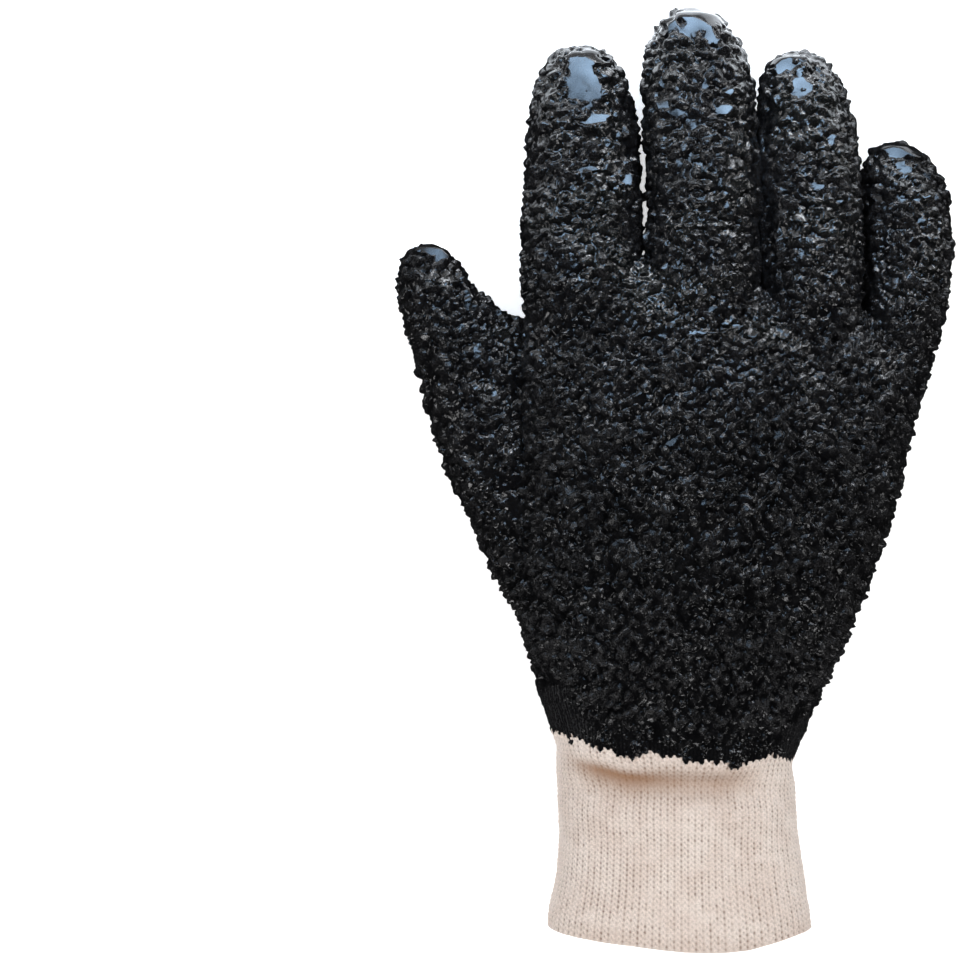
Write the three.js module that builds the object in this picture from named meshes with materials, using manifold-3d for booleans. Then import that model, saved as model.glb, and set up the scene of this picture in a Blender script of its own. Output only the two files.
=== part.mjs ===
// A chip-coated work glove for the right hand, lying on its palm with its back up.
// Millimetres, +Z up, fingertips towards +Y and thumb towards -X.
// The coated hand and the stalls for the fingers and the thumb are one hollow skin, a jersey
// lining bonded into a coating, parted here at the seams of the lining where each stall is set
// in. The knit wrist is a double tube of rib knitting, tucked into the mouth of the hand.

import * as THREE from 'three';
import { mergeVertices } from 'three/addons/utils/BufferGeometryUtils.js';
import Module from 'manifold-3d';

const wasm = await Module();
wasm.setup();

// Driving dimensions

const HAND_WALL = 3.0;        // lining, coating and the mean height of the chips
const EDGE_WALL = 1.2;        // the thin coating where it ends on the knitting
const WALL_THINS_FROM = -58;  // the wall thins from this Y down to the coating's edge
const WALL_THINS_TO = -76;
const KNIT_WALL = 2.4;        // two layers of rib knitting
const TUCK_GAP = 0.5;         // between the knitting and the coated hand around it
const SEAM_GAP = 0.3;         // between two pieces of the skin
const HAND_AXIS_X = 8;        // the hand's long axis, about which leaning sections turn

const HAND_SIDES = 48;
const STALL_SIDES = 24;
const INNER_STALL_SIDES = 16;
const DOME_RINGS = 5;         // rings in the rounded end of a stall
const TIP_FULLNESS = 2.2;     // above 2, a fingertip is blunter than an ellipse
const TIP_SHOULDER = 2.4;

const HAND_SQUARENESS = 2.5;  // exponent of the section's outline, 2 being an ellipse
const STALL_SQUARENESS = 2.2;

// A table is a list of rows with named columns.
const table = (columns, ...rows) =>
  rows.map((row) => Object.fromEntries(columns.map((name, i) => [name, row[i]])));

// The hand without its stalls, from the webs between the fingers down to the coating's edge.
// lean is the slope of a section across the hand, and hollow the depth of the cupped palm.
// A bottom below 0 is pressed flat where the glove rests.
const HAND = table(
  ['y', 'lean', 'left', 'right', 'bottom', 'top', 'hollow'],
  [60.5, -0.25, -39.0, 70.0, 19.5, 26.5, 0.0],
  [58.0, -0.25, -40.5, 73.0, 14.0, 32.5, 0.0],
  [53.0, -0.25, -42.0, 74.5, 10.5, 37.5, 0.5],
  [44.0, -0.22, -43.2, 73.2, 7.5, 42.5, 1.5],
  [30.0, -0.14, -44.3, 70.0, 5.5, 46.5, 3.0],
  [12.0, -0.06, -44.5, 66.4, 4.5, 50.0, 4.5],
  [-8.0, 0.0, -45.2, 62.4, 3.5, 52.5, 5.0],
  [-28.0, 0.0, -45.5, 56.2, 2.5, 53.5, 4.0],
  [-46.0, 0.0, -43.9, 48.7, 1.0, 52.5, 2.0],
  [-60.0, 0.0, -40.7, 42.4, 0.0, 50.5, 0.5],
  [-70.0, 0.0, -36.8, 38.6, -0.5, 48.6, 0.0],
  [-80.0, 0.0, -35.3, 35.6, -0.8, 47.6, 0.0],
);

// Where the coating ends on the wrist, by the angle around it: 0 is the little finger's side,
// 90 the back, 180 the thumb's side and 270 the palm's side.
const DIP_LINE = table(
  ['angle', 'y'],
  [0, -79.8], [30, -79.8], [52, -81.6], [68, -84.0], [88, -81.8], [110, -79.4],
  [122, -81.6], [145, -77.6], [180, -75.4], [205, -78.2], [235, -83.2], [262, -79.2],
  [300, -78.4], [330, -79.2], [360, -79.8],
);

// The stalls from tip to root. The rounded end of length dome narrows these sections.
const STALL_COLUMNS = ['y', 'left', 'right', 'bottom', 'top'];
const STALLS = {
  index: {
    dome: 29,
    rows: table(
      STALL_COLUMNS,
      [127.2, -42.4, -12.2, -0.5, 26.0],
      [98.0, -43.2, -10.2, -0.5, 29.5],
      [80.0, -44.2, -9.4, 2.5, 34.0],
      [62.0, -44.6, -9.2, 4.8, 39.2],
      [46.0, -43.8, -9.4, 8.5, 41.0],
      [22.0, -38.0, -12.0, 17.0, 39.0],
    ),
  },
  middle: {
    dome: 28,
    rows: table(
      STALL_COLUMNS,
      [138.1, -10.8, 20.0, -0.5, 27.0],
      [118.0, -9.6, 22.6, -0.5, 30.0],
      [100.0, -9.0, 23.3, 2.0, 34.0],
      [80.0, -8.5, 23.5, 4.0, 38.0],
      [60.0, -8.3, 23.5, 5.5, 42.0],
      [42.0, -7.6, 22.8, 9.5, 43.4],
      [16.0, -2.0, 18.5, 18.0, 41.0],
    ),
  },
  ring: {
    dome: 27,
    rows: table(
      STALL_COLUMNS,
      [125.2, 20.8, 50.2, -0.5, 25.5],
      [108.0, 23.9, 52.0, -0.5, 28.5],
      [92.0, 24.1, 53.8, 1.5, 32.5],
      [74.0, 24.1, 54.2, 3.5, 36.5],
      [56.0, 24.1, 54.2, 5.0, 39.8],
      [38.0, 25.0, 53.0, 9.5, 40.6],
      [12.0, 28.5, 46.0, 18.0, 38.0],
    ),
  },
  little: {
    dome: 19,
    rows: table(
      STALL_COLUMNS,
      [98.9, 53.2, 76.4, -0.5, 22.0],
      [84.0, 54.8, 79.8, -0.5, 25.5],
      [66.0, 54.9, 80.8, 2.0, 30.5],
      [49.0, 54.8, 78.6, 4.5, 34.4],
      [41.0, 54.2, 76.3, 7.0, 34.4],
      [31.0, 52.5, 71.0, 10.5, 33.0],
      [8.0, 48.0, 58.0, 17.0, 31.0],
    ),
  },
  thumb: {
    dome: 20,
    rows: table(
      STALL_COLUMNS,
      [69.0, -83.2, -62.0, -0.5, 20.5],
      [57.0, -81.9, -59.1, -0.5, 22.5],
      [47.7, -79.4, -53.8, -0.5, 24.5],
      [32.0, -75.0, -45.0, 0.3, 27.5],
      [17.5, -71.2, -37.0, 0.6, 30.5],
      [3.0, -66.2, -29.0, 1.0, 33.5],
      [-12.0, -59.6, -24.0, 1.2, 36.0],
      [-27.0, -52.8, -20.0, 1.8, 37.0],
      [-40.0, -45.8, -16.0, 3.5, 36.0],
      [-54.0, -36.0, -12.0, 9.0, 32.0],
    ),
  },
};

// The seams as planes. Each normal points away from the hand, towards the stalls.
const FINGER_SEAM = { normal: [0.25, 1, 0], through: [HAND_AXIS_X, 61, 0] };
const THUMB_SEAM = { normal: [-1, 0, 0], through: [-45.8, 0, 0] };

// The web of skin between the thumb and the hand.
const THUMB_WEB = table(
  STALL_COLUMNS,
  [57.0, -68.0, -60.5, 9.0, 14.0],
  [52.5, -67.0, -54.0, 7.0, 17.5],
  [48.0, -66.0, -47.5, 5.5, 21.0],
  [42.0, -64.0, -41.0, 4.5, 24.0],
  [30.0, -61.0, -38.0, 4.0, 27.5],
  [12.0, -56.0, -34.0, 4.5, 29.0],
);

// The knit wrist below the coating: pinched under the coating's edge, straight, then flared
// to the hem. drop is how far a section's middle hangs below its two sides.
const WRIST = table(
  ['y', 'left', 'right', 'bottom', 'top', 'drop'],
  [-88.5, -34.3, 34.7, -0.4, 43.4, 0.0],
  [-94.5, -34.3, 35.0, -0.8, 45.2, 0.4],
  [-104.0, -33.9, 35.4, -0.8, 44.2, 0.8],
  [-115.0, -34.8, 37.0, -0.8, 44.6, 1.4],
  [-125.0, -37.0, 39.0, -0.8, 46.0, 2.2],
  [-129.2, -37.4, 39.3, -0.8, 46.4, 2.9],
);
const HEM_ROUND = 1.1;        // radius of the folded hem
const TUCKED_AT = [-64, -72, -80, -85];  // sections of the knitting inside the coated hand

// Shape functions

// One value of a table at y, on a smooth curve through the rows.
function valueAt(rows, name, y) {
  const down = Math.sign(rows[rows.length - 1].y - rows[0].y);
  const last = rows.length - 2;
  const after = rows.findIndex((row) => (row.y - y) * down > 0);
  const i = Math.min(Math.max((after < 0 ? rows.length : after) - 1, 0), last);
  const [a, b] = [rows[i], rows[i + 1]];
  const before = rows[Math.max(i - 1, 0)];
  const next = rows[Math.min(i + 2, rows.length - 1)];
  const span = b.y - a.y;
  const t = THREE.MathUtils.clamp((y - a.y) / span, 0, 1);
  const slopeA = ((b[name] - before[name]) / (b.y - before.y)) * span;
  const slopeB = ((next[name] - a[name]) / (next.y - a.y)) * span;
  return a[name] * (1 + 2 * t) * (1 - t) ** 2 + b[name] * t * t * (3 - 2 * t)
    + slopeA * t * (1 - t) ** 2 - slopeB * t * t * (1 - t);
}

// All of a table's values at y.
const rowAt = (rows, y) => Object.fromEntries(
  Object.keys(rows[0]).map((name) => [name, name === 'y' ? y : valueAt(rows, name, y)]),
);

// A row taken in on all sides, for the inner face of a wall.
const inset = (row, wall) => ({
  ...row,
  left: row.left + wall,
  right: row.right - wall,
  bottom: Math.max(row.bottom, 0) + wall,
  top: row.top - wall,
  floor: wall,
});

// A row scaled about its own middle, for a rounded end.
function narrowed(row, share) {
  const middle = (row.left + row.right) / 2;
  const centre = (row.bottom + row.top) / 2;
  return {
    ...row,
    left: middle + (row.left - middle) * share,
    right: middle + (row.right - middle) * share,
    bottom: centre + (row.bottom - centre) * share,
    top: centre + (row.top - centre) * share,
  };
}

// The points of one section. It is flat where it rests on the ground.
function ring(row, sides, squareness) {
  const { lean = 0, hollow = 0, drop = 0, floor = 0, edge } = row;
  return Array.from({ length: sides }, (_, i) => {
    const angle = (i / sides) * 2 * Math.PI;
    const across = Math.sign(Math.cos(angle)) * Math.abs(Math.cos(angle)) ** (2 / squareness);
    const up = Math.sign(Math.sin(angle)) * Math.abs(Math.sin(angle)) ** (2 / squareness);
    const x = (row.left + row.right) / 2 + ((row.right - row.left) / 2) * across;
    const height = (row.bottom + row.top) / 2 + ((row.top - row.bottom) / 2) * up;
    const cupped = up < 0 ? height + hollow * (1 - across ** 2) : height;
    const y = row.y + lean * (x - HAND_AXIS_X) - drop * (1 - across ** 2)
      + (edge ? edge(angle) : 0);
    return new THREE.Vector3(x, y, Math.max(cupped, floor));
  });
}

// A closed surface over rings that run down Y. closed joins the last ring to the first, and
// otherwise each end is filled from its middle.
function skinOver(rings, closed = false) {
  const sides = rings[0].length;
  const points = rings.flat();
  const index = [];
  const bands = closed ? rings.length : rings.length - 1;
  for (let r = 0; r < bands; r++) {
    for (let i = 0; i < sides; i++) {
      const [a, b] = [r * sides + i, r * sides + ((i + 1) % sides)];
      const [c, d] = [a, b].map((k) => (k + sides) % (rings.length * sides));
      index.push(a, b, d, a, d, c);
    }
  }
  if (!closed) {
    for (const [r, turn] of [[0, 1], [rings.length - 1, -1]]) {
      const hub = points.push(
        rings[r].reduce((sum, p) => sum.add(p), new THREE.Vector3()).divideScalar(sides),
      ) - 1;
      for (let i = 0; i < sides; i++) {
        const pair = [r * sides + i, r * sides + ((i + 1) % sides)];
        index.push(hub, ...(turn > 0 ? pair.reverse() : pair));
      }
    }
  }
  const geometry = new THREE.BufferGeometry().setFromPoints(points);
  geometry.setIndex(index);
  return geometry;
}

// A stall's sections from tip to root, rounded at the tip.
function stallRings({ rows, dome }, wall) {
  const sides = wall ? INNER_STALL_SIDES : STALL_SIDES;
  const tip = rows[0].y - wall;
  const end = dome - wall / 2;
  const take = (y) => (wall ? inset(rowAt(rows, y), wall) : rowAt(rows, y));
  const rounded = Array.from({ length: DOME_RINGS }, (_, k) => {
    const depth = 1 - Math.cos(((k + 0.45) / DOME_RINGS) * (Math.PI / 2));
    const share = (1 - (1 - depth) ** TIP_FULLNESS) ** (1 / TIP_SHOULDER);
    return narrowed(take(tip - end * depth), share);
  });
  const straight = rows.filter((row) => row.y < tip - end * 0.9).map((row) => take(row.y));
  return [...rounded, ...straight].map((row) => ring(row, sides, STALL_SQUARENESS));
}

// Booleans

// A closed mesh as a solid, and a solid as a mesh's geometry.
function solidOf(geometry) {
  geometry.deleteAttribute('normal');
  geometry.deleteAttribute('uv');
  const merged = mergeVertices(geometry);
  return new wasm.Manifold(new wasm.Mesh({
    numProp: 3,
    vertProperties: new Float32Array(merged.attributes.position.array),
    triVerts: new Uint32Array(merged.index.array),
  }));
}

function geometryOf(solid) {
  const mesh = solid.getMesh();
  const geometry = new THREE.BufferGeometry();
  geometry.setAttribute('position', new THREE.BufferAttribute(mesh.vertProperties, 3));
  geometry.setIndex(new THREE.BufferAttribute(mesh.triVerts, 1));
  geometry.computeVertexNormals();
  return geometry;
}

// The pieces

const wallAt = (y) => THREE.MathUtils.mapLinear(
  THREE.MathUtils.clamp(y, WALL_THINS_TO, WALL_THINS_FROM),
  WALL_THINS_TO, WALL_THINS_FROM, EDGE_WALL, HAND_WALL,
);

// The coating's edge wanders by this much from the hand's last section.
function dipAt(angle) {
  const degrees = THREE.MathUtils.euclideanModulo(THREE.MathUtils.radToDeg(angle), 360);
  const rows = DIP_LINE.map(({ angle: at, y }) => ({ y: at, edge: y }));
  return valueAt(rows, 'edge', degrees) - HAND[HAND.length - 1].y;
}

const handEdge = { ...HAND[HAND.length - 1], edge: dipAt };
const mouthBelow = -100;      // the hollow is cut right through the mouth to here

const isThick = (row) => row.top - row.bottom > 2 && row.right - row.left > 2;

function handOutside() {
  const hand = [...HAND.slice(0, -1), handEdge];
  return solidOf(skinOver(hand.map((row) => ring(row, HAND_SIDES, HAND_SQUARENESS))));
}

function handInside() {
  const rows = HAND.map((row) => inset(row, wallAt(row.y)));
  rows.push({ ...rows[rows.length - 1], y: mouthBelow });
  return solidOf(skinOver(
    rows.filter(isThick).map((row) => ring(row, HAND_SIDES, HAND_SQUARENESS)),
  ));
}

function webSolid(wall) {
  const rows = THUMB_WEB.map((row) => (wall ? inset(row, wall) : row)).filter(isThick);
  return solidOf(skinOver(rows.map((row) => ring(row, STALL_SIDES, STALL_SQUARENESS))));
}

const stallSolid = (stall, wall) => solidOf(skinOver(stallRings(stall, wall)));

// All stalls, the thumb's web and the hand joined, as the outer or the inner face of the wall.
function gloveForm(wall) {
  const hand = wall ? handInside() : handOutside();
  return Object.values(STALLS).reduce(
    (joined, stall) => joined.add(stallSolid(stall, wall)),
    hand.add(webSolid(wall)),
  );
}

// What lies to one side of a seam: 1 is the stalls' side and -1 the hand's.
function besideSeam(solid, { normal, through }, sign) {
  const away = new THREE.Vector3(...normal).normalize().multiplyScalar(sign);
  const distance = away.dot(new THREE.Vector3(...through)) + SEAM_GAP / 2;
  return solid.trimByPlane(away.toArray(), distance);
}

// The skin's pieces by name.
function skinPieces() {
  const skin = gloveForm(0).subtract(gloveForm(HAND_WALL));
  const hand = besideSeam(besideSeam(skin, FINGER_SEAM, -1), THUMB_SEAM, -1);
  const pieces = { coated_hand: hand, thumb_stall: besideSeam(skin, THUMB_SEAM, 1) };
  for (const finger of ['index', 'middle', 'ring', 'little']) {
    const stall = stallSolid(STALLS[finger], 0).subtract(stallSolid(STALLS[finger], HAND_WALL));
    pieces[`${finger}_stall`] = besideSeam(stall, FINGER_SEAM, 1);
  }
  return pieces;
}

// The knit wrist's outer face follows the inside of the coated hand, then its own table.
function knitWrist() {
  const tucked = TUCKED_AT.map((y) => ({
    ...inset(rowAt(HAND, y), wallAt(y) + TUCK_GAP), floor: 0, drop: 0,
  }));
  const outer = [...tucked, ...WRIST];
  const hem = WRIST[WRIST.length - 1];
  const hemEnd = { ...inset(hem, HEM_ROUND), y: hem.y - HEM_ROUND, floor: HEM_ROUND };
  const inner = outer.map((row) => ({
    ...inset(row, KNIT_WALL), floor: Math.max(row.bottom, 0) + KNIT_WALL,
  }));
  const rings = [...outer, hemEnd, ...inner.reverse()];
  return skinOver(rings.map((row) => ring(row, HAND_SIDES, HAND_SQUARENESS)), true);
}

// Materials

const coating = new THREE.MeshStandardMaterial({
  name: 'chip_coating', color: 0x16171a, roughness: 0.35, metalness: 0,
});
const knitting = new THREE.MeshStandardMaterial({
  name: 'rib_knit', color: 0xdccbb9, roughness: 0.95, metalness: 0,
});

function piece(name, geometry, material) {
  const mesh = new THREE.Mesh(geometry, material);
  mesh.name = name;
  return mesh;
}

const glove = new THREE.Group();
for (const [name, solid] of Object.entries(skinPieces())) {
  glove.add(piece(name, geometryOf(solid), coating));
}
glove.add(piece('knit_wrist', knitWrist(), knitting));

// The origin is the middle of the glove's footprint.
const middle = new THREE.Box3().setFromObject(glove).getCenter(new THREE.Vector3());
glove.children.forEach((mesh) => mesh.geometry.translate(-middle.x, -middle.y, 0));

export default glove;
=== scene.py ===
# %% [markdown]
# # A chip-coated work glove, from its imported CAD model
# The real glove is a cloth hand that is dipped in liquid PVC, showered with PVC chips while the
# PVC is still wet, dipped again and baked. A ribbed cotton wrist is left bare. This script dresses
# the plain CAD solids as that glove: chips, glossy film, knitted stitches, light and camera.

# %% The frame
import itertools
import math
import time

import bmesh
import bpy
import numpy as np
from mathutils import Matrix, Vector
from mathutils.bvhtree import BVHTree
from mathutils.kdtree import KDTree


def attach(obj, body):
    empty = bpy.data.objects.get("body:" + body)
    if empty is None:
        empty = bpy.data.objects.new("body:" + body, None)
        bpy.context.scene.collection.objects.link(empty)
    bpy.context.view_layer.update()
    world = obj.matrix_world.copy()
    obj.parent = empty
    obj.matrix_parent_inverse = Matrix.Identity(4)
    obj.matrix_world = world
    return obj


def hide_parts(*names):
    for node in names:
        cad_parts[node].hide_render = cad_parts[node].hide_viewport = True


started = time.time()
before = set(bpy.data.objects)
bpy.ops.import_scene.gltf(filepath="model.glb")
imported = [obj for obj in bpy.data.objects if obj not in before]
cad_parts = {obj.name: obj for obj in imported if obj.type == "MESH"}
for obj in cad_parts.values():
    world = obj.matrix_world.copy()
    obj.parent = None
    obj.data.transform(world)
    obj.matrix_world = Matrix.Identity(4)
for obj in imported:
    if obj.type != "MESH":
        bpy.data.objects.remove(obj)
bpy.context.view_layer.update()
MM = 0.001
EYE = np.array([-0.05698, -0.00231, 1.02])      # the camera, straight above
TIP_LIGHT = np.array([-0.08, 0.36, 0.36])       # the softbox that the fingertips mirror
rng = np.random.default_rng(7)


def seconds():
    return f"{time.time() - started:.1f} s"


print("CAD nodes:", sorted(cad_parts), seconds())

# %% [markdown]
# ## Reading the CAD solids
# Every surface starts from the solids, so that each piece lies where the CAD says. They are held
# as points and triangles in millimetres, because chips and stitches are known in millimetres.

# %% Solids as arrays of points and triangles
def read(items, key, each=1, kind=float):
    """One attribute of all the items as a flat array, with so many numbers from each."""
    values = np.empty(len(items) * each, kind)
    items.foreach_get(key, values)
    return values


def mesh_arrays(mesh):
    """A mesh's points in millimetres, merged where they coincide, and its triangles."""
    mesh.calc_loop_triangles()
    points = read(mesh.vertices, "co", 3).reshape(-1, 3) / MM
    triangles = read(mesh.loop_triangles, "vertices", 3, np.int32)
    points, place = np.unique(np.round(points, 3), axis=0, return_inverse=True)
    triangles = place.ravel()[triangles].reshape(-1, 3)
    whole = (triangles != np.roll(triangles, 1, axis=1)).all(axis=1)
    return points, triangles[whole]


# %% Normals of faces, and faces that are joined
def unit(vectors):
    return vectors / np.maximum(np.linalg.norm(vectors, axis=-1, keepdims=True), 1e-9)


def face_normals(points, triangles):
    a, b, c = (points[triangles[:, k]] for k in range(3))
    return unit(np.cross(b - a, c - a))


def islands(faces, count):
    """A number for each face, the same for all those that are joined."""
    label = np.arange(count)
    while True:
        lowest = label[faces].min(axis=1)
        new = label.copy()
        for k in range(faces.shape[1]):
            np.minimum.at(new, faces[:, k], lowest)
        new = new[new]
        if (new == label).all():
            return label[faces[:, 0]]
        label = new


# %% The solids
cad = {name: mesh_arrays(node.data) for name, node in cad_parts.items()}
print({name: len(triangles) for name, (points, triangles) in cad.items()}, "triangles")

# %% [markdown]
# ## Parting the skin's two faces
# Each solid of the skin is a wall with an outer face and an inner one, joined where it was cut at
# a seam and at the mouth. With the cut faces taken away the two come apart: the outer face will
# carry the chips, and the inner one is the cloth lining.

# %% Outer and inner faces of the skin
SKIN_NODES = [name for name in sorted(cad) if name != "knit_wrist"]
FINGERS = ("index", "middle", "ring", "little")
SEAM_ACROSS = np.array([0.25, 1.0, 0.0]) / math.hypot(0.25, 1.0)   # square to the fingers' seam
FINGER_SEAM = (cad["middle_stall"][0] @ SEAM_ACROSS).min()
THUMB_SEAM = cad["thumb_stall"][0][:, 0].max()
MOUTH_Y = -72.0                # the coating's cut end lies below this
SQUARE_ON = 0.985              # how nearly a cut face must look along its seam


def on_a_cut(points, triangles):
    """Which triangles lie on a seam or on the coating's end."""
    normals = face_normals(points, triangles)
    centres = points[triangles].mean(axis=1)
    fingers = (abs(normals @ SEAM_ACROSS) > SQUARE_ON) & (abs(centres @ SEAM_ACROSS - FINGER_SEAM) < 1)
    thumb = (abs(normals[:, 0]) > SQUARE_ON) & (abs(centres[:, 0] - THUMB_SEAM) < 1)
    mouth = (normals[:, 1] < -0.7) & (centres[:, 1] < MOUTH_Y)
    return fingers | thumb | mouth


outer, inner = {}, {}
for name in SKIN_NODES:
    points, triangles = cad[name]
    kept = triangles[~on_a_cut(points, triangles)]
    label = islands(kept, len(points))
    reach = {i: np.ptp(points[kept[label == i].ravel()], axis=0).prod() for i in np.unique(label)}
    first, second = sorted(reach, key=reach.get, reverse=True)[:2]
    outer[name], inner[name] = kept[label == first], kept[label == second]
    print(name, "outer", len(outer[name]), "inner", len(inner[name]), "of", len(reach), "faces")

# %% [markdown]
# ## One even skin
# Chips need points at even distances. Blender's voxel remesh gives that: each face is closed at
# its cuts, the stalls are pushed a little into the hand, and all of it is fused into one net of
# small quads. It is then smoothed, which also takes the flat facets out of the CAD solids.

# %% Closing a face at its cuts
LAP = 0.9                      # how far a stall's cut end is pushed across the gap, into the hand


def closed_form(name, faces, inset):
    """A face of a node in metres, drawn in by the inset, with its holes filled."""
    points, _ = cad[name]
    bm = bmesh.new()
    verts = {i: bm.verts.new(points[i] * MM) for i in np.unique(faces[name])}
    for triangle in faces[name]:
        bm.faces.new([verts[i] for i in triangle])
    rim = [edge for edge in bm.edges if edge.is_boundary]
    bm.normal_update()
    for vert in bm.verts:
        vert.co -= vert.normal * inset * MM
    if name != "coated_hand":
        lap = np.array([1.0, 0, 0]) if name == "thumb_stall" else -SEAM_ACROSS
        for vert in {vert for edge in rim for vert in edge.verts}:
            vert.co += Vector(lap * LAP * MM)
    bmesh.ops.holes_fill(bm, edges=rim, sides=0)
    return bm


# %% Fusing closed faces into a net of quads
def linked(name, data):
    """An object of this name and data, put into the scene."""
    made = bpy.data.objects.new(name, data)
    bpy.context.scene.collection.objects.link(made)
    return made


def with_modifiers(made):
    """A copy of an object's mesh as its modifiers leave it."""
    return bpy.data.meshes.new_from_object(made.evaluated_get(bpy.context.evaluated_depsgraph_get()))


def fused_net(faces, voxel, inset=0.0):
    """The points, in millimetres, and quads of all the closed forms fused at one voxel size."""
    joined = bmesh.new()
    for name in SKIN_NODES:
        part = bpy.data.meshes.new(name)
        closed_form(name, faces, inset).to_mesh(part)
        joined.from_mesh(part)
        bpy.data.meshes.remove(part)
    mesh = bpy.data.meshes.new("fused")
    joined.to_mesh(mesh)
    made = linked("fused", mesh)
    remesh = made.modifiers.new("even net", "REMESH")
    remesh.mode = "VOXEL"
    remesh.voxel_size = voxel * MM
    net = with_modifiers(made)
    points = read(net.vertices, "co", 3).reshape(-1, 3) / MM
    quads = read(net.loops, "vertex_index", 1, np.int32).reshape(-1, 4)
    bpy.data.objects.remove(made)
    for spent in (net, mesh):
        bpy.data.meshes.remove(spent)
    return points, quads


# %% Neighbours, smoothing and normals
def edges_of(quads, count):
    """Each edge once, as two arrays of point numbers."""
    a, b = quads.ravel().astype(np.int64), np.roll(quads, -1, axis=1).ravel()
    return np.divmod(np.unique(np.minimum(a, b) * count + np.maximum(a, b)), count)


def neighbour_mean(values, edges):
    """For each point, the mean of its neighbours' values."""
    a, b = edges
    count = len(values)
    degree = np.bincount(a, minlength=count) + np.bincount(b, minlength=count)
    columns = values.reshape(count, -1).T
    total = [np.bincount(a, c[b], count) + np.bincount(b, c[a], count) for c in columns]
    return (np.stack(total, axis=1) / np.maximum(degree, 1)[:, None]).reshape(values.shape)


def smoothed(values, edges, times):
    """Smoothing that keeps volume: a step in, and a slightly longer step out."""
    for share in (0.5, -0.52) * times:
        values = values + share * (neighbour_mean(values, edges) - values)
    return values


def point_normals(points, faces):
    """A normal at each point, in which a large face counts for more than a small one."""
    a, b, c, d = (points[faces[:, k]] for k in (0, 1, 2, -1))
    across = np.cross(c - a, d - b) if faces.shape[1] == 4 else np.cross(b - a, c - a)
    total = [sum(np.bincount(faces[:, k], across[:, axis], len(points)) for k in range(faces.shape[1]))
             for axis in range(3)]
    return unit(np.stack(total, axis=1))


# %% The skin
VOXEL = 0.45                   # fine enough to bend the skin round a crumb of 1 mm
CLOTH_DEPTH = 0.6              # the cloth lies this far under the solid's face, the chips' mean height
SKIN_ROUNDS = 24               # of smoothing, until the solids' facets are gone
NORMAL_ROUNDS = 6              # of smoothing, so that chips stand up evenly
skin, quads = fused_net(outer, VOXEL, CLOTH_DEPTH)
edges = edges_of(quads, len(skin))
skin = smoothed(skin, edges, SKIN_ROUNDS)
normals = point_normals(skin, quads)
for _ in range(NORMAL_ROUNDS):
    normals = unit(neighbour_mean(normals, edges))
print("skin", len(skin), "points", len(quads), "quads", seconds())

# %% [markdown]
# ## Noise and easing
# Worn, dipped and baked things are uneven at several sizes at once. One noise function serves them
# all: random numbers on a lattice, blended smoothly between its corners, with the lump size given
# in millimetres.

# %% Noise in millimetres
LATTICE_SIZE = 64              # the pattern comes back after so many lumps
LATTICE = rng.random((LATTICE_SIZE,) * 3)


def eased(values, low, high):
    """0 below low, 1 above high, and a smooth S between them."""
    t = np.clip((values - low) / (high - low), 0, 1)
    return t * t * (3 - 2 * t)


def noise(points, size, shift=0.0):
    """Smooth noise from 0 to 1 with lumps of the given size, which may differ by axis.

    The shift slides the pattern, so that no two uses are alike.
    """
    scaled = points / size + shift
    cell = np.floor(scaled).astype(int)
    t = scaled - cell
    t = t * t * (3 - 2 * t)
    total = np.zeros(len(points))
    for corner in itertools.product((0, 1), repeat=3):
        weight = np.where(corner, t, 1 - t).prod(axis=1)
        total += weight * LATTICE[tuple(((cell + corner) % LATTICE_SIZE).T)]
    return total


print("noise on a lattice of", LATTICE.size, "random numbers")

# %% [markdown]
# ## Where the chips end
# The chips stop a little short of the dip line and leave bare coated ribs, more of them at the two
# sides than in the middle. The line is measured on the photograph. Here it wanders a little to and
# fro, and single chips stray across it.

# %% How far a point lies above the chips' end
CHIPS_END = [(-36, -66), (-25, -77), (2, -84.5), (26, -82.5), (36, -75)]      # x and y
END_WAVE = 7.0                 # how far the line wanders in all
END_BEND = 9.0                 # and the size of its bends
STRAY = 5.0                    # how far single chips stray across it


def above_chips_end(points):
    """How far points lie beyond the line, towards the fingertips."""
    wave = END_WAVE * (noise(points, END_BEND, 60.3) - 0.5)
    return points[:, 1] - np.interp(points[:, 0], *zip(*CHIPS_END)) + wave


above = above_chips_end(skin)
end_noise = noise(skin, 3.5, 5.1)
allowed = above > STRAY * end_noise - 2
print(int(allowed.sum()), "points may carry chips", seconds())

# %% [markdown]
# ## Chips
# The chips are crumbs of ground PVC. The large ones are 2 to 4 mm wide and nearly touch, smaller at
# the wrist and larger towards the fingertips, and fine crumbs lie between and on them. Each is a
# block with a flattish top, steep sides and two flat cuts, which is why it glints along its rim
# only. They could be separate small meshes, but the second dip joins them into one skin, so here
# the skin itself is lifted under each chip.

# %% Scattering the chips
CHIP_KINDS = [                 # rings: more than this many net edges lie between two centres
    {"rings": 6, "radius": (1.15, 1.8), "height": (0.9, 2.9), "share": 1.0},
    {"rings": 3, "radius": (0.45, 0.85), "height": (0.4, 1.2), "share": 0.45},
]
CHIP_CUTS = 2                  # flat cuts across each chip
CHIP_SQUARENESS = 2.4          # 2 is an ellipse, and more is squarer


def spaced_points(allowed, edges, rings):
    """Points picked at random so that none is within so many edges of another."""
    a, b = edges
    order = rng.random(len(allowed))
    free, chosen = allowed.copy(), np.zeros(len(allowed), bool)

    def grown(values):
        for _ in range(rings):
            wider = values.copy()
            np.maximum.at(wider, a, values[b])
            np.maximum.at(wider, b, values[a])
            values = wider
        return values

    while free.any():
        rank = np.where(free, order, 0.0)
        new = free & (rank == grown(rank))
        chosen |= new
        free &= grown(new.astype(float)) == 0
    return np.flatnonzero(chosen)


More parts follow.
